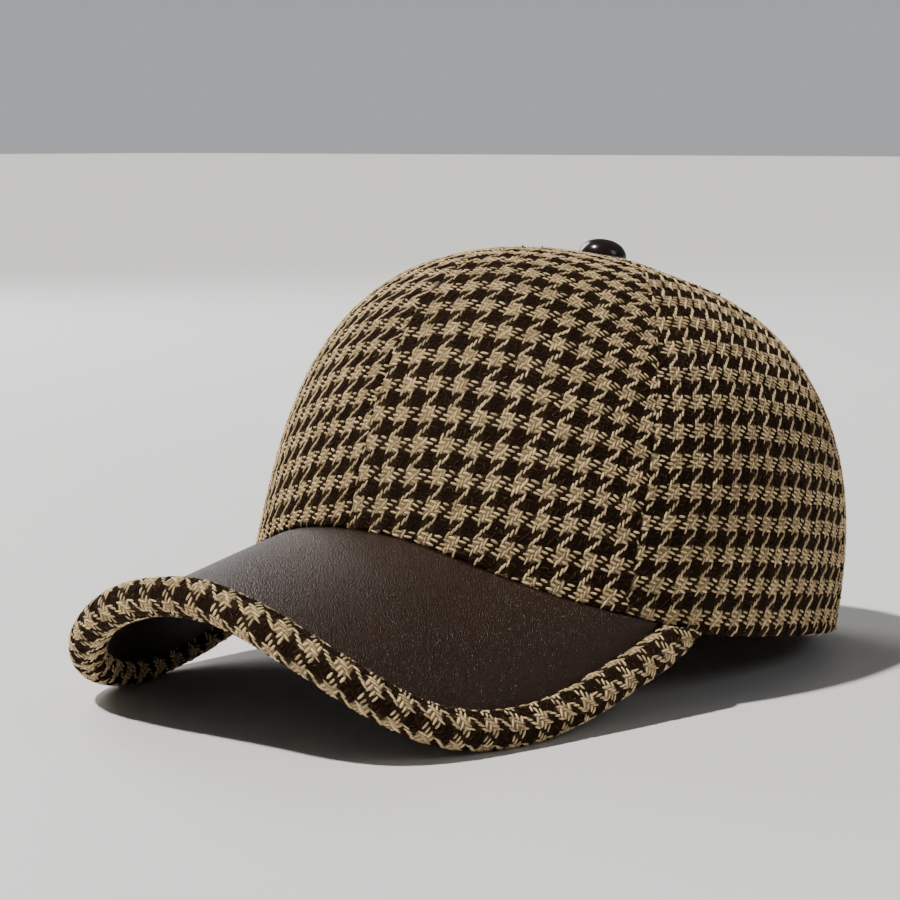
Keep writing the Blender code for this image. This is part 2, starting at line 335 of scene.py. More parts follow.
# %% Node helpers
class Sums:
    """Builds math nodes in one material; each method gives back a socket."""

    def __init__(self, tree):
        self.tree = tree

    def node(self, kind, **settings):
        made = self.tree.nodes.new(kind)
        for key, value in settings.items():
            setattr(made, key, value)
        return made

    def feed(self, socket, value):
        if isinstance(value, bpy.types.NodeSocket):
            self.tree.links.new(value, socket)
        else:
            socket.default_value = value

    def math(self, operation, *values, clamp=False):
        made = self.node("ShaderNodeMath", operation=operation, use_clamp=clamp)
        for socket, value in zip(made.inputs, values):
            self.feed(socket, value)
        return made.outputs[0]

    def add(self, a, b):
        return self.math("ADD", a, b)

    def sub(self, a, b):
        return self.math("SUBTRACT", a, b)

    def mul(self, a, b):
        return self.math("MULTIPLY", a, b)

    def wrap(self, value, high):
        """The value folded into 0 up to high."""
        return self.math("FLOORED_MODULO", value, high)

    def ramp(self, value, low, high, out_low=0.0, out_high=1.0):
        made = self.node("ShaderNodeMapRange", interpolation_type="SMOOTHSTEP")
        for key, number in zip(("From Min", "From Max", "To Min", "To Max"), (low, high, out_low, out_high)):
            made.inputs[key].default_value = number
        self.feed(made.inputs["Value"], value)
        return made.outputs["Result"]

    def noise(self, place, scale, detail=2.0, roughness=0.5):
        made = self.node("ShaderNodeTexNoise")
        self.feed(made.inputs["Vector"], place)
        made.inputs["Scale"].default_value = scale
        made.inputs["Detail"].default_value = detail
        made.inputs["Roughness"].default_value = roughness
        return made.outputs["Fac"]

    def blend(self, share, first, second):
        made = self.node("ShaderNodeMix", data_type="RGBA")
        self.feed(made.inputs["Factor"], share)
        self.feed(made.inputs["A"], first)
        self.feed(made.inputs["B"], second)
        return made.outputs["Result"]

    def shade(self, colour, share):
        """The colour times a grey value."""
        made = self.node("ShaderNodeVectorMath", operation="SCALE")
        self.feed(made.inputs[0], colour)
        self.feed(made.inputs["Scale"], share)
        return made.outputs[0]

    def parts(self, vector):
        """The X, Y and Z sockets of a vector."""
        made = self.node("ShaderNodeSeparateXYZ")
        self.feed(made.inputs[0], vector)
        return made.outputs

    def place(self, x, y, z=0.0):
        made = self.node("ShaderNodeCombineXYZ")
        for socket, value in zip(made.inputs, (x, y, z)):
            self.feed(socket, value)
        return made.outputs[0]

    def bump(self, height, distance, strength=1.0, under=None):
        made = self.node("ShaderNodeBump")
        made.inputs["Strength"].default_value = strength
        made.inputs["Distance"].default_value = distance
        self.feed(made.inputs["Height"], height)
        if under is not None:
            self.feed(made.inputs["Normal"], under)
        return made.outputs["Normal"]


def new_material(name):
    made = bpy.data.materials.new(name)
    made.use_nodes = True
    shader = made.node_tree.nodes["Principled BSDF"]
    return made, shader, Sums(made.node_tree)

# %% [markdown]
# ## Where the checks lie
#
# The cutter lays each gore on the cloth so that the rows of checks run nearly level round
# the head and the columns run up to the button. Eight threads make one check, four light
# and four dark. For each panel the table says how many checks there are to the metre, how
# the rows and columns lean, and how many checks lie up to one known place. The numbers come
# from counting checks along the gores and the roll that can be seen, and the hidden gores
# are laid like them. One square grid for all panels would be simpler, but then the bands
# would run off at a slant beside every seam.

# %% Lay of the cloth
THREADS_IN_CHECK = 8
FIRST_LIGHT_THREAD = 4
LIGHT_CHECK = 6.0
# panel: place in metres, checks counted there, checks per metre across, and along
CLOTH_LAY = {
    "crown_front_left": ((-0.0001, 0.0609), (1.0, -0.5), (128.0, -2.8), (-7.5, 109.7)),
    "crown_front_right": ((0.0232, 0.0387), (1.5, -1.0), (158.0, -18.0), (-23.0, 116.0)),
    "crown_side_left": ((-0.0033, 0.0542), (4.7, 0.87), (125.5, -11.8), (-19.8, 107.4)),
    "crown_side_right": ((0.0033, 0.0542), (0.0, 0.0), (125.5, 9.0), (19.0, 108.0)),
    "crown_back_left": ((0.0, 0.0500), (0.4, 0.3), (126.0, -4.0), (-9.6, 109.0)),
    "crown_back_right": ((0.0, 0.0500), (0.7, 0.1), (126.0, 4.0), (9.6, 109.0)),
}
ROLL_LAY = ((0.0001, -0.0728), (1.5, -0.41), (-0.8, -113.8), (124.0, -4.0))


def lay_counts(lay, first, second):
    """Checks counted across and along, at places on the cloth in metres."""
    place, count, across, along = lay
    first = first - place[0]
    second = second - place[1]
    return (
        count[0] + across[0] * first + across[1] * second,
        count[1] + along[0] * first + along[1] * second,
    )


def uneven(threads):
    """No loom and no needle keeps threads quite straight."""
    u, v = threads[..., 0], threads[..., 1]
    shift_u = 0.20 * np.sin(0.31 * v + 1.4 * np.sin(0.13 * u)) + 0.10 * np.sin(0.83 * v + 0.9 * u)
    shift_v = 0.20 * np.sin(0.27 * u + 1.3 * np.sin(0.11 * v)) + 0.10 * np.sin(0.77 * u - 0.8 * v)
    return threads + np.stack([shift_u, shift_v], axis=-1)

# %% [markdown]
# ## Houndstooth
#
# Houndstooth is a twill of four light and four dark threads in both directions. Each warp
# thread passes over two weft threads and under two, one step later than its neighbour. No
# picture is needed: the broken checks come out of those two rules by themselves. The stretch
# of thread that lies on top is a float. It is modelled as a small grain of its own, so the
# light catches it and the outline of the cap is really rough. The cloth under the floats
# takes the colour of the yarns that dive into it, with painted shade: it is drawn darker, as
# in the shadow between the floats, and each float is painted darker towards its ends. A bump
# map alone would leave the outline smooth.

# %% The yarns
LIGHT_YARN = (0.72, 0.535, 0.295, 1.0)
DARK_YARN = (0.022, 0.0108, 0.0052, 1.0)
BROWN_HAIR = (0.110, 0.055, 0.026, 1.0)
UNDER_CLOTH, DARK_FLOAT, LIGHT_FLOAT, DARK_HAIR, LIGHT_HAIR = -1.0, 0.0, 2.0, 4.0, 6.0
YARN_MAP = "yarn"


def houndstooth_material():
    made, shader, s = new_material("houndstooth_wool")
    uv = s.node("ShaderNodeUVMap", uv_map=CLOTH_MAP).outputs["UV"]
    across, along, _ = s.parts(uv)
    kind, travel, _ = s.parts(s.node("ShaderNodeUVMap", uv_map=YARN_MAP).outputs["UV"])

    on_top = s.math("GREATER_THAN", kind, -0.5)
    tone = s.math("FRACT", kind)
    light_float = s.mul(s.math("GREATER_THAN", kind, 1.5), s.math("LESS_THAN", kind, 3.5))
    hair = s.math("GREATER_THAN", kind, 3.5)
    light_hair = s.math("GREATER_THAN", kind, 5.5)

    fine = s.noise(s.place(across, along), 5.0, 3.0, 0.65)
    fray = s.mul(s.sub(s.noise(s.place(across, along), 1.1, 2.0), 0.5), 2.2)
    warp_light = s.math("GREATER_THAN", s.wrap(s.add(across, fray), THREADS_IN_CHECK), FIRST_LIGHT_THREAD)
    weft_light = s.math("GREATER_THAN", s.wrap(s.sub(along, fray), THREADS_IN_CHECK), FIRST_LIGHT_THREAD)
    both = s.mul(warp_light, weft_light)
    either = s.math("MAXIMUM", warp_light, weft_light)
    # Painted shade: the cloth under the floats is drawn darker than its yarns, at half the light yarn where
    # both are light, as the shadow between the floats.
    gap_shaded_light_share = s.add(s.mul(both, 0.50), s.mul(either, 0.03))

    broad = s.noise(uv, 0.05, 3.0)
    streak = s.noise(s.place(s.mul(kind, 37.0), s.mul(travel, 1.6), s.mul(across, 2.2)), 1.0, 2.0)
    # Painted shade: each float's colour is darkened towards its ends, where it dives into the cloth.
    painted_end_shade = s.ramp(s.math("ABSOLUTE", s.math("WRAP", travel, 2.0, -2.0)), 0.55, 1.0, 1.0, 0.62)

    under = s.blend(gap_shaded_light_share, DARK_YARN, LIGHT_YARN)
    under = s.shade(under, s.add(0.20, s.mul(fine, 0.95)))
    brown = s.mul(s.ramp(s.noise(s.place(across, along), 0.9, 3.0), 0.45, 0.75), 0.35)
    top = s.blend(light_float, s.blend(brown, DARK_YARN, BROWN_HAIR), LIGHT_YARN)
    top = s.shade(top, s.mul(painted_end_shade, s.add(0.44, s.add(s.mul(tone, 0.70), s.mul(streak, 0.40)))))
    hairs = s.blend(light_hair, BROWN_HAIR, LIGHT_YARN)
    colour = s.blend(on_top, under, s.blend(hair, top, hairs))
    s.feed(shader.inputs["Base Color"], s.shade(colour, s.add(0.80, s.mul(broad, 0.40))))
    relief = s.add(s.mul(fine, 0.6), s.mul(streak, 0.4))
    s.feed(shader.inputs["Normal"], s.bump(relief, 0.00022, 0.8))
    shader.inputs["Roughness"].default_value = 0.85
    shader.inputs["Specular IOR Level"].default_value = 0.05
    shader.inputs["Sheen Weight"].default_value = 0.02
    shader.inputs["Sheen Roughness"].default_value = 0.5
    shader.inputs["Sheen Tint"].default_value = (0.85, 0.72, 0.55, 1.0)
    return made


cloth = houndstooth_material()
print("cloth nodes:", len(cloth.node_tree.nodes))

# %% [markdown]
# ## Floats and loose hair
#
# A float is a grain of four sides with pointed ends. One is made with the sphere operator,
# poured into the mesh as often as needed, and every copy is stretched and laid along its
# thread. Floats lean a little, because each one dives beside its neighbour. About a third of
# the dark floats are left out, as they hardly show on the dark cloth under them and the mesh
# stays lighter. Fine hairs of wool stand off the cloth in the same way. Particle hair would
# look alike but can't be exported with the cap.

# %% Grains and hairs
FLOAT_LENGTH = 1.30
FLOAT_WIDTH = 0.34
FLOAT_HEIGHT = 0.00033
FLOAT_LEAN = math.radians(15.0)
FLOAT_REPEAT = 4
FLOAT_SCATTER = 0.045
FLOAT_LIFT = 0.15
FLOAT_DIVE = 0.45
DARK_FLOAT_HEIGHT = 0.70
DARK_FLOATS_LOST = 0.35
DARK_UNREST = math.radians(16.0)
LIGHT_UNREST = math.radians(6.0)
HAIR_LENGTH = (0.0008, 0.0022)
HAIR_RISE = (0.10, 0.55)
HAIR_CURL = 0.35
HAIR_THICKNESS = 0.000024
HAIR_FOOT = 0.0001
LIGHT_HAIRS_ON_DARK = 0.25
RIM_MARGIN = 0.12
THREAD_STEPS_KNOWN = (0.0003, 0.0040)
LONGEST_THREAD_STEP = 0.0013
PLACES_AT_ONCE = 500
chance = np.random.default_rng(11)


def grain(sides, rings):
    """A unit grain with its ends on the Y axis: its mesh and its corners' places."""
    bm = bmesh.new()
    bmesh.ops.create_uvsphere(bm, u_segments=sides, v_segments=rings, radius=1.0)
    bmesh.ops.rotate(bm, matrix=Matrix.Rotation(0.5 * math.pi, 3, "X"), cent=(0, 0, 0), verts=bm.verts)
    bmesh.ops.recalc_face_normals(bm, faces=bm.faces)
    mesh = bpy.data.meshes.new("grain")
    bm.to_mesh(mesh)
    places = np.array([vert.co[:] for vert in bm.verts])
    bm.free()
    return mesh, places


FLOAT_GRAIN = grain(4, 4)
HAIR_GRAIN = grain(3, 3)


def laid(places, *ways):
    """Corners of each grain: its place, moved by metres along each direction."""
    corners = places[:, None, :]
    for direction, metres in ways:
        corners = corners + direction[:, None, :] * metres[..., None]
    return corners


def poured(made_from, places, wanted, kind):
    """A copy of the grain for each row of places, with its thread counts and its kind of yarn."""
    shape, unit_places = made_from
    bm = bmesh.new()
    for _ in range(len(places)):
        bm.from_mesh(shape)
    mesh = bpy.data.meshes.new("poured")
    bm.to_mesh(mesh)
    bm.free()
    mesh.vertices.foreach_set("co", places.reshape(-1).astype(np.float32))
    corners = np.empty(len(mesh.loops), dtype=np.int32)
    mesh.loops.foreach_get("vertex_index", corners)
    counts = np.broadcast_to(wanted[:, None, :], (*places.shape[:2], 2))
    yarn = np.stack(np.broadcast_arrays(kind[:, None], unit_places[None, :, 1]), axis=-1)
    for name, values in ((CLOTH_MAP, counts), (YARN_MAP, yarn)):
        layer = mesh.uv_layers.new(name=name)
        layer.data.foreach_set("uv", values.reshape(-1, 2)[corners].reshape(-1).astype(np.float32))
    return mesh


class Cloth:
    """A grid of surface points with thread counts, which gives places and directions."""

    def __init__(self, points, threads, outward, uneven_share=None):
        self.points, self.threads = points, threads
        # Share of floats left out at each point: all under the button, and the painted crease shade along
        # the leather.
        self.uneven_share = np.zeros(points.shape[:2]) if uneven_share is None else uneven_share
        self.along_columns = [np.gradient(grid, axis=0) for grid in (points, threads)]
        self.along_rows = [np.gradient(grid, axis=1) for grid in (points, threads)]
        self.outward = outward
        self.shape = points.shape[:2]

    def nearest(self, wanted):
        """Column and row of the grid point whose thread counts come nearest."""
        flat = self.threads.reshape(-1, 2)
        nearest = np.empty(len(wanted), dtype=int)
        for start in range(0, len(wanted), PLACES_AT_ONCE):
            part = wanted[start:start + PLACES_AT_ONCE]
            off_u = part[:, None, 0] - flat[None, :, 0]
            off_v = part[:, None, 1] - flat[None, :, 1]
            nearest[start:start + PLACES_AT_ONCE] = np.argmin(off_u ** 2 + off_v ** 2, axis=1)
        return np.unravel_index(nearest, self.shape)

    def steps_to(self, wanted, column, row):
        """Grid steps from a grid point to the wanted counts, with the slopes that gave them."""
        along_c = self.along_columns[1][column, row]
        along_r = self.along_rows[1][column, row]
        area = along_c[:, 0] * along_r[:, 1] - along_c[:, 1] * along_r[:, 0]
        area = np.where(np.abs(area) < 1e-9, 1e-9, area)
        off = wanted - self.threads[column, row]
        step_c = (off[:, 0] * along_r[:, 1] - off[:, 1] * along_r[:, 0]) / area
        step_r = (along_c[:, 0] * off[:, 1] - along_c[:, 1] * off[:, 0]) / area
        return step_c, step_r, along_c, along_r, area

    def lay(self, wanted):
        """Places, thread directions and normals at wanted thread counts, and which lie inside."""
        column, row = self.nearest(wanted)
        last_column, last_row = self.shape[0] - 1, self.shape[1] - 1
        for _ in range(3):
            step_c, step_r = self.steps_to(wanted, column, row)[:2]
            better = (np.abs(step_c) > 0.6) | (np.abs(step_r) > 0.6)
            next_column = np.clip(np.round(column + np.clip(step_c, -6, 6)), 0, last_column).astype(int)
            next_row = np.clip(np.round(row + np.clip(step_r, -6, 6)), 0, last_row).astype(int)
            moved = better & ((next_column != column) | (next_row != row))
            if not moved.any():
                break
            column = np.where(moved, next_column, column)
            row = np.where(moved, next_row, row)
        step_c, step_r, along_c, along_r, area = self.steps_to(wanted, column, row)
        point_c = self.along_columns[0][column, row]
        point_r = self.along_rows[0][column, row]
        places = self.points[column, row] + point_c * step_c[:, None] + point_r * step_r[:, None]
        per_u = (point_c * along_r[:, 1:2] - point_r * along_c[:, 1:2]) / area[:, None]
        per_v = (point_r * along_c[:, 0:1] - point_c * along_r[:, 0:1]) / area[:, None]
        inside = (np.abs(step_c) < 1.5) & (np.abs(step_r) < 1.0)
        for direction in (per_u, per_v):
            length = np.linalg.norm(direction, axis=1)
            inside &= (length > THREAD_STEPS_KNOWN[0]) & (length < THREAD_STEPS_KNOWN[1])
            direction *= np.minimum(1.0, LONGEST_THREAD_STEP / np.maximum(length, 1e-9))[:, None]
        inside &= (column + step_c > RIM_MARGIN) & (column + step_c < last_column - RIM_MARGIN)
        inside &= (row + step_r > RIM_MARGIN) & (row + step_r < last_row - RIM_MARGIN)
        normals = unit(np.cross(point_c, point_r)) * self.outward
        return places, per_u, per_v, normals, inside, self.uneven_share[column, row]

    def span(self):
        low = self.threads.reshape(-1, 2).min(axis=0)
        high = self.threads.reshape(-1, 2).max(axis=0)
        return low, high


def float_middles(low, high, is_warp):
    """Thread counts at the middle of each float of the warp or of the weft."""
    own, other = (0, 1) if is_warp else (1, 0)
    middles = []
    for thread in np.arange(math.floor(low[own]), math.ceil(high[own]) + 1):
        first = thread if is_warp else thread + FLOAT_REPEAT - 1
        start = first + FLOAT_REPEAT * math.ceil((low[other] - first) / FLOAT_REPEAT)
        for middle in np.arange(start, high[other], FLOAT_REPEAT):
            middles.append((thread + 0.5, middle) if is_warp else (middle, thread + 0.5))
    return np.array(middles, dtype=float)


def floats_on(surface):
    """A grain for each float of the weave, warp and weft."""
    low, high = surface.span()
    meshes = []
    for is_warp in (True, False):
        middles = float_middles(low, high, is_warp)
        number = np.floor(middles[:, 0] if is_warp else middles[:, 1])
        dark = (number % THREADS_IN_CHECK) < FIRST_LIGHT_THREAD
        wanted = middles + chance.normal(0.0, FLOAT_SCATTER, middles.shape)
        places, per_u, per_v, normals, inside, uneven_share = surface.lay(wanted)
        lost = np.maximum(uneven_share, np.where(dark, DARK_FLOATS_LOST, 0.0))
        inside &= chance.uniform(0.0, 1.0, len(wanted)) > lost
        places, per_u, per_v, normals = places[inside], per_u[inside], per_v[inside], normals[inside]
        dark, wanted = dark[inside], wanted[inside]
        run, side = (per_v, per_u) if is_warp else (per_u, per_v)
        count = len(places)
        turn = FLOAT_LEAN + chance.normal(0.0, 1.0, count) * np.where(dark, DARK_UNREST, LIGHT_UNREST)
        ahead = unit(run)
        right = unit(np.cross(ahead, normals))
        leaning = ahead * np.cos(turn)[:, None] + right * np.sin(turn)[:, None]
        right = np.cross(leaning, normals)
        long = FLOAT_LENGTH * np.linalg.norm(run, axis=1) * chance.uniform(0.88, 1.10, count)
        wide = FLOAT_WIDTH * np.linalg.norm(side, axis=1) * chance.uniform(0.88, 1.12, count)
        thick = FLOAT_HEIGHT * chance.uniform(0.80, 1.20, count) * np.where(dark, DARK_FLOAT_HEIGHT, 1.0)
        x, y, z = FLOAT_GRAIN[1].T
        corners = laid(
            places,
            (right, wide[:, None] * x),
            (leaning, long[:, None] * y),
            (normals, thick[:, None] * (z + FLOAT_LIFT - FLOAT_DIVE * y ** 2)),
        )
        kind = np.where(dark, DARK_FLOAT, LIGHT_FLOAT) + chance.uniform(0.02, 0.98, count)
        meshes.append(poured(FLOAT_GRAIN, corners, wanted, kind))
    return meshes


def hairs_on(surface, count):
    """Loose hairs that rise from the cloth and bend over."""
    low, high = surface.span()
    wanted = chance.uniform(low, high, (3 * count, 2))
    places, per_u, per_v, normals, inside, uneven_share = surface.lay(wanted)
    keep = np.flatnonzero(inside & (uneven_share < 0.5))[:count]
    places, normals, wanted = places[keep], normals[keep], wanted[keep]
    count = len(keep)
    heading = unit(per_u[keep])
    beside = np.cross(normals, heading)
    turn = chance.uniform(0.0, 2.0 * math.pi, count)[:, None]
    heading = heading * np.cos(turn) + beside * np.sin(turn)
    beside = np.cross(normals, heading)
    long = chance.uniform(*HAIR_LENGTH, count)[:, None]
    rise = chance.uniform(*HAIR_RISE, count)[:, None]
    curl = chance.normal(0.0, HAIR_CURL, count)[:, None]
    thick = HAIR_THICKNESS * chance.uniform(0.7, 1.3, count)[:, None]
    x, y, z = HAIR_GRAIN[1].T
    share = 0.5 * (y + 1.0)
    corners = laid(
        places,
        (heading, long * share * (1.0 - 0.25 * share)),
        (beside, long * curl * share ** 2 + thick * x),
        (normals, HAIR_FOOT + long * rise * share * (1.25 - 0.6 * share) + thick * z),
    )
    stray = chance.uniform(0.0, 1.0, count) < LIGHT_HAIRS_ON_DARK
    light = (wanted % THREADS_IN_CHECK > FIRST_LIGHT_THREAD).all(axis=1) | stray
    kind = np.where(light, LIGHT_HAIR, DARK_HAIR) + chance.uniform(0.02, 0.98, count)
    return poured(HAIR_GRAIN, corners, wanted, kind)


def mark_under_cloth(bm):
    """Marks the faces that a mesh has so far as the cloth under the floats."""
    under = bm.loops.layers.uv.get(YARN_MAP) or bm.loops.layers.uv.new(YARN_MAP)
    for face in bm.faces:
        for loop in face.loops:
            loop[under].uv = (UNDER_CLOTH, 0.0)


def add_yarns(bm, surface, hair_count):
    """Pours the floats and hairs of one piece of cloth into its bmesh."""
    mark_under_cloth(bm)
    before = len(bm.faces)
    for mesh in (*floats_on(surface), hairs_on(surface, hair_count)):
        bm.from_mesh(mesh)
        bpy.data.meshes.remove(mesh)
    print("yarn faces", len(bm.faces) - before)

# %% [markdown]
# ## Crown panels
#
# Each gore is its own piece of cloth, sewn to its neighbours with the edges turned in. So
# each panel's rim rolls inwards, which leaves the fine dark groove of the seam, and the
# weave starts again in each panel. The seams pucker a little and the cloth between them is
# never quite even. No floats lie under the button. A texture laid over the whole crown would
# run straight across the seams.

# %% Crown panels
RIM_SHARES = np.array([0.0, 0.0025, 0.006, 0.011, 0.018, 0.030])
PANEL_COLUMNS = 34
PANEL_ROWS = 64
SEAM_ROLL = 0.0006
HEM_ROLL = 0.0013
SEAM_SLIT = 0.00010
SMALLEST_WIDTH = 1e-9
MOST_TRIM = 0.45
UNDER_FLOATS = 0.00016
PUCKER_DEPTH = 0.00018
DENT_DEPTH = 0.0003
INSIDE_WALL = 0.0003
BESIDE_BUTTON = 0.0008
LINE_BELOW_HEM = 0.12
HEAD_MIDDLE = np.array([0.0, 0.02, 0.03])
PANEL_HAIRS = 1300


def panel_columns():
    """Shares round a panel, close together near both seams."""
    inner = np.linspace(RIM_SHARES[-1], 1.0 - RIM_SHARES[-1], PANEL_COLUMNS + 1)
    return np.concatenate([RIM_SHARES[:-1], inner, 1.0 - RIM_SHARES[-2::-1]])


def panel_rows():
    """Shares up a panel, close together near the hem."""
    return np.concatenate([np.array([0.0, 0.0012, 0.003, 0.006]), np.linspace(0.0105, 1.0, PANEL_ROWS)])


def roll_drop(distance, radius):
    """How far a surface has turned in at a distance from its rim."""
    left = np.clip(radius - distance, 0.0, radius)
    return radius - np.sqrt(radius ** 2 - left ** 2)


def places_on_panel(points, middle_angle):
    """Metres to the side of the panel's middle line, and up along it."""
    hem = hem_rise(middle_angle)
    rises = hem - LINE_BELOW_HEM + np.linspace(0.0, 1.0, 900) * (1.0 + LINE_BELOW_HEM - hem)
    rises = np.clip(rises, None, top_rise(middle_angle))
    line = crown_at(np.full_like(rises, middle_angle), rises)
    steps = np.linalg.norm(np.diff(line, axis=0), axis=1)
    line = line[np.concatenate([[True], steps > 1e-7])]
    travelled = np.concatenate([[0.0], np.cumsum(np.linalg.norm(np.diff(line, axis=0), axis=1))])
    along_line = unit(np.gradient(line, axis=0))
    flat = points.reshape(-1, 3)
    ahead = flat @ along_line.T - np.sum(line * along_line, axis=1)
    first = np.argmax(ahead < 0.0, axis=1)
    first = np.where(ahead[:, -1] >= 0.0, len(line) - 1, np.maximum(first, 1))
    rows = np.arange(len(flat))
    before = ahead[rows, first - 1]
    after = ahead[rows, first]
    share = np.clip(before / np.maximum(before - after, 1e-12), 0.0, 1.5)
    along = travelled[first - 1] + share * (travelled[first] - travelled[first - 1])
    foot = line[first - 1] + share[:, None] * (line[first] - line[first - 1])
    rightward = np.cross(np.array([0.0, 0.0, 1.0]), unit(foot - HEAD_MIDDLE))
    side = np.linalg.norm(flat - foot, axis=1) * np.sign(np.sum((flat - foot) * rightward, axis=1))
    return side.reshape(points.shape[:2]), along.reshape(points.shape[:2])


def panel_surface(start, end):
    """Outside points, normals and distances to the seams and the hem of one panel."""
    shares = panel_rows()
    columns = panel_columns()
    points = np.array([meridian(start + (end - start) * column, shares) for column in columns])
    width = np.linalg.norm(np.diff(points, axis=0), axis=-1).sum(axis=0)
    trim = np.minimum(0.5 * SEAM_SLIT / np.maximum(width, SMALLEST_WIDTH), MOST_TRIM)
    points += (points[-1] - points[0]) * (trim * (1.0 - 2.0 * columns[:, None]))[..., None]
    normals = unit(np.cross(np.gradient(points, axis=0), np.gradient(points, axis=1)))
    steps = np.linalg.norm(np.diff(points, axis=0), axis=-1)
    from_start = np.concatenate([np.zeros((1, len(shares))), np.cumsum(steps, axis=0)])
    to_seam = np.minimum(from_start, from_start[-1] - from_start)
    rises = np.linalg.norm(np.diff(points, axis=1), axis=-1)
    from_hem = np.concatenate([np.zeros((len(points), 1)), np.cumsum(rises, axis=1)], axis=1)
    return points, normals, from_start, to_seam, from_hem


def crown_panel(node, start, end):
    points, normals, from_start, to_seam, from_hem = panel_surface(start, end)
    lay = CLOTH_LAY[node]
    counts = lay_counts(lay, *places_on_panel(points, 0.5 * (start + end)))
    threads = uneven(np.stack(counts, axis=-1) * THREADS_IN_CHECK + LIGHT_CHECK)
    ripple = np.sin(from_hem / 0.0019 + 2.0 * np.sin(from_hem / 0.013))
    pucker = PUCKER_DEPTH * np.exp(-to_seam / 0.004) * ripple
    dent = DENT_DEPTH * np.sin(from_hem / 0.017 + 40.0 * start) * np.sin(from_start / 0.013 + 9.0 * end)
    dent *= ease(to_seam / 0.012)
    drop = roll_drop(to_seam, SEAM_ROLL) + roll_drop(from_hem, HEM_ROLL) - pucker - dent + UNDER_FLOATS
    outside = points - normals * drop[..., None]
    inside = points - normals * (WALL + INSIDE_WALL)
    share = from_hem / from_hem.max()
    angles = start + (end - start) * panel_columns()
    lift = np.sqrt(np.clip(np.cos(angles), 0.0, 1.0))[:, None]
    inside[..., 2] += HEM_UNDERCUT * lift * (1.0 - share) ** 8
    for surface in (outside, inside):
        surface[..., 2] = np.maximum(surface[..., 2], 0.0)
        surface += CAP_SHIFT
    bm = bmesh.new()
    wall(bm, outside, inside, threads)
    from_button = np.linalg.norm(points - crown_at(np.array(0.0), np.array(1.0)), axis=-1)
    under_button = (from_button < BUTTON_RADIUS + BESIDE_BUTTON).astype(float)
    add_yarns(bm, Cloth(outside, threads, 1.0, under_button), PANEL_HAIRS)
    return finished(node + "_cloth", bm, node, cloth)


for place, start, end in zip(("front", "side", "back"), SEAM_ANGLES, SEAM_ANGLES[1:]):
    crown_panel(f"crown_{place}_left", start, end)
    crown_panel(f"crown_{place}_right", -end, -start)

# %% [markdown]
# ## Leather
#
# The peak is covered in smooth brown leather with a fine pebble grain. Small cells give the
# pebbles and a finer noise the pores, and small bright specks in the colour are painted
# glints. Stronger relief would look like crocodile, and none at all like plastic. The under
# side is painted darker as shade, told apart by the way it faces. The board's edge is hidden
# in the binding.

# %% Leather material
# Share of brightness left on the leather's under side: painted shade.
UNDER_SIDE_PAINTED_SHADE = 0.25


def leather_material():
    made, shader, s = new_material("brown_pebbled_leather")
    place = s.node("ShaderNodeTexCoord").outputs["Object"]
    cells = s.node("ShaderNodeTexVoronoi", feature="DISTANCE_TO_EDGE")
    warped = s.node("ShaderNodeVectorMath", operation="ADD")
    s.feed(warped.inputs[0], place)
    shift = s.node("ShaderNodeVectorMath", operation="SCALE")
    wobble = s.node("ShaderNodeTexNoise")
    s.feed(wobble.inputs["Vector"], place)
    wobble.inputs["Scale"].default_value = 600.0
    s.feed(shift.inputs[0], wobble.outputs["Color"])
    shift.inputs["Scale"].default_value = 0.0012
    s.feed(warped.inputs[1], shift.outputs[0])
    s.feed(cells.inputs["Vector"], warped.outputs[0])
    cells.inputs["Scale"].default_value = 1250.0
    pebble = s.ramp(cells.outputs["Distance"], 0.0, 0.30)
    pore = s.noise(place, 3600.0, 3.0, 0.6)
    # Painted highlight: small bright specks in the colour stand for glints on the grain.
    painted_glint = s.ramp(s.noise(place, 1900.0, 1.0), 0.66, 0.74)
    broad = s.noise(place, 38.0, 3.0)
    colour = s.blend(broad, (0.024, 0.0098, 0.0048, 1.0), (0.042, 0.0170, 0.0085, 1.0))
    upward = s.parts(s.node("ShaderNodeNewGeometry").outputs["Normal"])[2]
    # Painted shade: faces that point down are drawn darker, as the shade under the peak.
    painted_under_shade = s.ramp(upward, -0.25, 0.15, UNDER_SIDE_PAINTED_SHADE, 1.0)
    grain_and_glint = s.add(0.70, s.add(s.mul(pebble, 0.28), s.mul(painted_glint, 0.5)))
    s.feed(shader.inputs["Base Color"], s.shade(colour, s.mul(painted_under_shade, grain_and_glint)))
    relief = s.add(s.mul(pebble, 0.7), s.mul(pore, 0.6))
    s.feed(shader.inputs["Normal"], s.bump(relief, 0.00017, 1.0))
    uneven_share = s.add(s.mul(s.sub(1.0, pebble), 0.12), s.mul(broad, 0.08))
    s.feed(shader.inputs["Roughness"], s.add(0.27, uneven_share))
    shader.inputs["Specular IOR Level"].default_value = 0.42
    shader.inputs["Coat Weight"].default_value = 0.03
    shader.inputs["Coat Roughness"].default_value = 0.35
    return made


leather = leather_material()
print("leather nodes:", len(leather.node_tree.nodes))

# %% Peak
PEAK_COLUMNS = 140
PEAK_ROWS = 36
LEATHER_INTO_ROLL = 0.0012
LEATHER_UNDER_CROWN = 0.0012


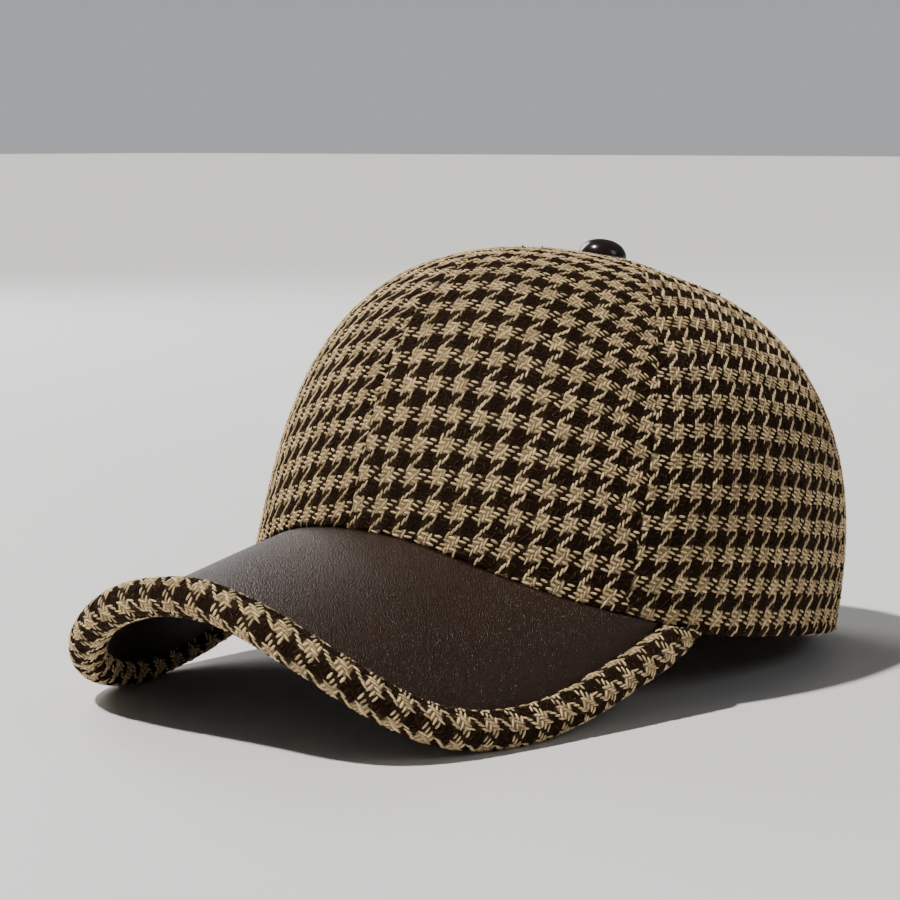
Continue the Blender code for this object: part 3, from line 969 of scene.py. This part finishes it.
def peak_place(across, out):
    """Top of the leather and its normal, for arrays of places across and out."""
    inner = crown_at(across * PEAK_END_ON_HEM, hem_rise(across * PEAK_END_ON_HEM))
    inner = inner - np.array([0.0, 0.0, GAP])
    around = across * PEAK_END_ON_EDGE
    turn, reach = edge_place(around)
    inward = unit(np.cross(sheet_normal(turn, reach), binding_direction(around)))
    outer = sheet(turn, reach) + inward * (BINDING_RADIUS + GAP - LEATHER_INTO_ROLL)
    length = np.linalg.norm(outer - inner, axis=-1)
    underlap = LEATHER_UNDER_CROWN * (1.0 - np.abs(across) ** 1.5) / length
    share = (out * (1.0 + underlap) - underlap)[..., None]
    inner_place = place_on_sheet(inner)
    outer_place = place_on_sheet(outer)
    place = inner_place + (outer_place - inner_place) * share
    inner_lift = inner - sheet(inner_place[..., 0], inner_place[..., 1])
    outer_lift = outer - sheet(outer_place[..., 0], outer_place[..., 1])
    top = sheet(place[..., 0], place[..., 1]) + inner_lift + (outer_lift - inner_lift) * share
    return top, sheet_normal(place[..., 0], place[..., 1])


def peak():
    across, out = grid_shares(PEAK_COLUMNS, PEAK_ROWS, -1.0)
    top, normals = peak_place(across, out)
    under = top - normals * PEAK_THICKNESS
    bm = bmesh.new()
    wall(bm, top + CAP_SHIFT, under + CAP_SHIFT, np.stack([across, out], axis=-1))
    return finished("peak_leather", bm, "peak", leather)


peak()

# %% [markdown]
# ## The binding
#
# A band of the crown's cloth is wound over the peak's edge, with padding in it, so it reads
# as a thick roll. It was cut a quarter turn from the panels, so its checks run the other
# way. Where the roll meets the leather most floats are left out, so the darker cloth under
# them shows there as painted shade along the crease. The roll is a grid closed into a tube:
# a bevelled curve would be quicker, but then its ends couldn't be pressed flat under the
# hem. Its floats and hairs are a second piece, because there are so many of them.

# %% Binding
ROLL_STATIONS = 300
ROLL_SIDES = 30
ROLL_HAIRS = 3200
# Share of floats left out along the leather, for the painted crease shade.
CREASE_SHADE_FLOATS_LOST = 0.90
CREASE_SHADE_BAND = 0.0013


def pressed_under_hem(points):
    """Keeps the roll below the crown's lower edge where it passes under it."""
    degrees = np.radians(np.arange(40.0, 100.0, 0.25))
    hem = crown_at(degrees, hem_rise(degrees))
    mirrored = np.stack([np.abs(points[..., 0]), points[..., 1]], axis=-1)
    flat = mirrored.reshape(-1, 2)
    gaps = np.hypot(hem[None, :, 0] - flat[:, None, 0], hem[None, :, 1] - flat[:, None, 1])
    nearest = hem[np.argmin(gaps, axis=1)]
    outward = unit(nearest[:, :2] / np.array([CROWN_HALF_WIDTH, CROWN_FRONT]) ** 2)
    outside = np.sum((flat - nearest[:, :2]) * outward, axis=1)
    ceiling = nearest[:, 2] - GAP - TUCK_DROOP * np.maximum(-outside, 0.0)
    ceiling = ceiling + TUCK_RISE * np.maximum(outside - TUCK_CLEAR, 0.0)
    pressed = points.copy()
    pressed[..., 2] = np.minimum(points[..., 2], ceiling.reshape(points.shape[:-1]))
    return pressed


def binding():
    turns, shares = grid_shares(ROLL_SIDES, ROLL_STATIONS)
    around = (2.0 * shares - 1.0) * BINDING_END
    middle = sheet(*edge_place(around))
    direction = binding_direction(around)
    side = unit(np.cross(direction, np.array([0.0, 0.0, 1.0])))
    lift = np.cross(side, direction)
    steps = np.linalg.norm(np.diff(middle[0], axis=0), axis=1)
    length = np.concatenate([[0.0], np.cumsum(steps)])
    length = length - 0.5 * length[-1]
    turn = math.pi + 2.0 * math.pi * turns
    inward = unit(np.cross(sheet_normal(*edge_place(around)), direction))
    leather_turn = np.arctan2(np.sum(inward * lift, axis=-1), np.sum(inward * side, axis=-1))
    from_leather = np.abs((turn - leather_turn + math.pi) % (2.0 * math.pi) - math.pi) * BINDING_RADIUS
    # Painted shade: near the leather most floats are left out, so the darker cloth under them shows as shade
    # along the crease.
    crease_shade = CREASE_SHADE_FLOATS_LOST * np.exp(-(from_leather / CREASE_SHADE_BAND) ** 4)
    lumps = 0.018 * np.sin(length / 0.0071)[None, :] * np.sin(turn)
    swell = 1.0 + lumps + 0.012 * np.sin(length / 0.0043 + 1.0)[None, :]
    offset = side * np.cos(turn)[..., None] + lift * np.sin(turn)[..., None]
    points = middle + offset * ((BINDING_RADIUS - UNDER_FLOATS) * swell)[..., None]
    points = pressed_under_hem(points)
    points[..., 2] = np.maximum(points[..., 2], 0.0)
    points[-1] = points[0]
    girth = (turn - 2.0 * math.pi) * BINDING_RADIUS
    counts = lay_counts(ROLL_LAY, girth, -np.broadcast_to(length, girth.shape))
    threads = np.stack([counts[1], -counts[0]], axis=-1) * THREADS_IN_CHECK + LIGHT_CHECK
    threads = uneven(threads)
    points = points + CAP_SHIFT
    bm = bmesh.new()
    add_grid(bm, points, threads)
    bmesh.ops.remove_doubles(bm, verts=bm.verts, dist=0.000005)
    ends = [edge for edge in bm.edges if edge.is_boundary]
    bmesh.ops.holes_fill(bm, edges=ends, sides=0)
    bmesh.ops.recalc_face_normals(bm, faces=bm.faces)
    mark_under_cloth(bm)
    finished("peak_binding_roll", bm, "peak_binding", cloth)
    yarns = bmesh.new()
    add_yarns(yarns, Cloth(points, threads, -1.0, crease_shade), ROLL_HAIRS)
    return finished("peak_binding_yarns", yarns, None, cloth)


binding()

# %% [markdown]
# ## The button
#
# A domed button covers the point where the six gores meet. It is nearly black and polished,
# so its shape only shows in one soft reflection. It is spun from half a profile.

# %% Button
BUTTON_STEPS = 96
DOME_STEPS = 21
BUTTON_SEAT = 0.0001


def button_material():
    made, shader, s = new_material("polished_dark_button")
    place = s.node("ShaderNodeTexCoord").outputs["Object"]
    cloudy = s.noise(place, 220.0, 3.0)
    colour = s.blend(cloudy, (0.012, 0.007, 0.006, 1.0), (0.022, 0.012, 0.009, 1.0))
    s.feed(shader.inputs["Base Color"], colour)
    s.feed(shader.inputs["Roughness"], s.add(0.14, s.mul(s.noise(place, 900.0, 2.0), 0.10)))
    s.feed(shader.inputs["Normal"], s.bump(s.noise(place, 500.0, 2.0), 0.00004, 0.4))
    shader.inputs["Coat Weight"].default_value = 0.35
    shader.inputs["Coat Roughness"].default_value = 0.12
    return made


def button():
    bm = bmesh.new()
    steps = np.linspace(0.0, 0.5 * math.pi, DOME_STEPS + 1)[:-1]
    profile = [
        (0.0, 0.0),
        (BUTTON_RADIUS - 0.9 * BUTTON_RIM, 0.0),
        (BUTTON_RADIUS - 0.3 * BUTTON_RIM, 0.35 * BUTTON_RIM),
    ]
    profile += [
        (BUTTON_RADIUS * math.cos(step) ** 0.8, BUTTON_RIM + (BUTTON_HEIGHT - BUTTON_RIM) * math.sin(step))
        for step in steps
    ]
    profile.append((0.0, BUTTON_HEIGHT))
    verts = [bm.verts.new((radius, 0.0, height)) for radius, height in profile]
    edges = [bm.edges.new(pair) for pair in zip(verts, verts[1:])]
    bmesh.ops.spin(
        bm, geom=verts + edges, axis=(0, 0, 1), cent=(0, 0, 0),
        angle=2 * math.pi, steps=BUTTON_STEPS, use_merge=True,
    )
    bmesh.ops.remove_doubles(bm, verts=bm.verts, dist=0.000005)
    tilt = CROWN_PITCH + math.atan(CROWN_NOD)
    normal = np.array([0.0, math.sin(tilt), math.cos(tilt)])
    ahead = np.array([0.0, -math.cos(tilt), math.sin(tilt)])
    seat = crown_at(np.array(0.0), np.array(1.0)) + CAP_SHIFT + normal * BUTTON_SEAT + ahead * BUTTON_AHEAD
    bmesh.ops.transform(bm, matrix=Matrix.Translation(seat) @ Matrix.Rotation(-tilt, 4, "X"), verts=bm.verts)
    bmesh.ops.recalc_face_normals(bm, faces=bm.faces)
    return finished("top_button_dome", bm, "top_button", button_material())


button()

# %% [markdown]
# ## Floor, light and camera
#
# The cap stands on a plain pale floor. The light is like a window's: a sun from above and
# the front left gives the clear shadow, a large soft light behind on the left draws the
# sheen along the leather, and two weaker ones fill the right side and the front. A brighter
# band at the horizon is the grey backdrop. Brighter light all round would grey the dark
# yarns. The camera stands where the photographer's did, found from the outline of the
# crown, its seams and the roll.

# %% Floor
FLOOR_HALF = 20.0


def floor():
    made, shader, _ = new_material("pale_floor")
    shader.inputs["Base Color"].default_value = (0.93, 0.93, 0.93, 1.0)
    shader.inputs["Roughness"].default_value = 0.55
    mesh = bpy.data.meshes.new("floor")
    bm = bmesh.new()
    bmesh.ops.create_grid(bm, x_segments=1, y_segments=1, size=FLOOR_HALF)
    bm.to_mesh(mesh)
    bm.free()
    mesh.materials.append(made)
    plane = bpy.data.objects.new("floor", mesh)
    bpy.context.collection.objects.link(plane)
    print("floor", 2.0 * FLOOR_HALF, "m wide")


floor()

# %% Lights
CAP_MIDDLE = Vector((0.0, 0.0, 0.06))
TOWARDS_SUN = Vector((-0.290, -0.365, 0.88))
# name: place, size in metres, watts
SOFTBOXES = {
    "front_softbox": ((-0.35, -0.85, 1.75), 0.8, 0.3),
    "side_softbox": ((1.65, 0.35, 1.15), 0.8, 2.2),
    "rear_softbox": ((-1.75, 0.62, 0.98), 1.1, 18.5),
}


def add_light(name, kind, place, heading, **settings):
    """A light at a place, shining along a heading."""
    data = bpy.data.lights.new(name, kind)
    for key, value in settings.items():
        setattr(data, key, value)
    light = bpy.data.objects.new(name, data)
    light.location = place
    light.rotation_euler = heading.to_track_quat("-Z", "Y").to_euler()
    bpy.context.collection.objects.link(light)
    print(name, "at", place)


SUN_LOOK = {"energy": 4.15, "angle": math.radians(3.5), "color": (1.0, 0.975, 0.94)}
add_light("window_sun", "SUN", (0.0, 0.0, 0.0), -TOWARDS_SUN, **SUN_LOOK)
for name, (place, size, watts) in SOFTBOXES.items():
    add_light(name, "AREA", place, CAP_MIDDLE - Vector(place), shape="DISK", size=size, energy=watts)

# %% Backdrop
BACKDROP_COLOUR = (0.75, 0.77, 0.80, 1.0)
BAND_TOP = (0.04, 0.12)
BAND_LIGHT = 0.56
SKY_LIGHT = 0.12


def studio_world():
    world = bpy.data.worlds.new("studio")
    world.use_nodes = True
    background = world.node_tree.nodes["Background"]
    background.inputs["Color"].default_value = BACKDROP_COLOUR
    s = Sums(world.node_tree)
    upward = s.parts(s.node("ShaderNodeTexCoord").outputs["Generated"])[2]
    s.feed(background.inputs["Strength"], s.ramp(upward, *BAND_TOP, BAND_LIGHT, SKY_LIGHT))
    bpy.context.scene.world = world
    print("backdrop fades over", BAND_TOP)


studio_world()

# %% Camera
PHOTO_PIXELS = 900
CAMERA_AZIMUTH = math.radians(37.711)
CAMERA_DISTANCE = 0.81203
CAMERA_HEIGHT = 0.16123
CAMERA_FOCAL_PIXELS = 2646.8
CAMERA_YAW = math.radians(1.206)
CAMERA_PITCH = math.radians(-6.721)
AIM_OFFSET = (-0.006773, -0.006693)


def camera():
    data = bpy.data.cameras.new("photo_camera")
    data.sensor_width = 36.0
    data.lens = CAMERA_FOCAL_PIXELS / PHOTO_PIXELS * data.sensor_width
    data.clip_start = 0.01
    made = bpy.data.objects.new("photo_camera", data)
    made.location = (
        math.sin(CAMERA_AZIMUTH) * CAMERA_DISTANCE + AIM_OFFSET[0],
        -math.cos(CAMERA_AZIMUTH) * CAMERA_DISTANCE + AIM_OFFSET[1] + CAP_SHIFT[1],
        CAMERA_HEIGHT - HEM_SQUASH,
    )
    heading = CAMERA_AZIMUTH + CAMERA_YAW
    made.rotation_euler = (0.5 * math.pi + CAMERA_PITCH, 0.0, heading)
    bpy.context.collection.objects.link(made)
    bpy.context.scene.camera = made
    print("camera at", [round(value, 3) for value in made.location])


camera()
